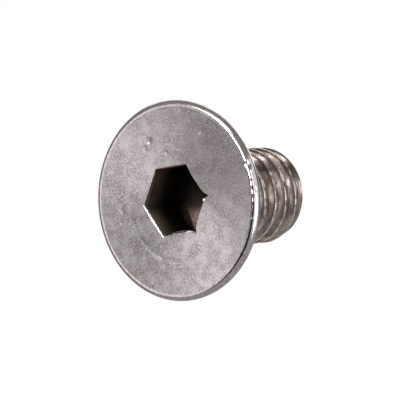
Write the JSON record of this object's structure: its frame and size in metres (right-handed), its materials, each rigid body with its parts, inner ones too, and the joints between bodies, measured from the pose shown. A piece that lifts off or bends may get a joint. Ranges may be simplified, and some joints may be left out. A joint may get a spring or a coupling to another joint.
{
  "type": "countersunk socket screw",
  "caption": "Short fully threaded screw with a flat countersunk head and a hexagon socket, standing on its head.",
  "frame": {"origin": "on the screw's axis, at the centre of the head's flat face, which the screw stands on", "axes": "+Z along the screw's axis, from the head's flat face to the end of the shank; the hexagon socket has two corners on the Y axis and two flats square to the X axis"},
  "size_m": [0.012, 0.012, 0.01],
  "materials": {
    "steel": "plain stainless steel, matt and finely grained on the head, brighter on its edges, browner in the thread and the socket"
  },
  "bodies": {
    "root": {"screw": "steel"}
  },
  "joints": []
}
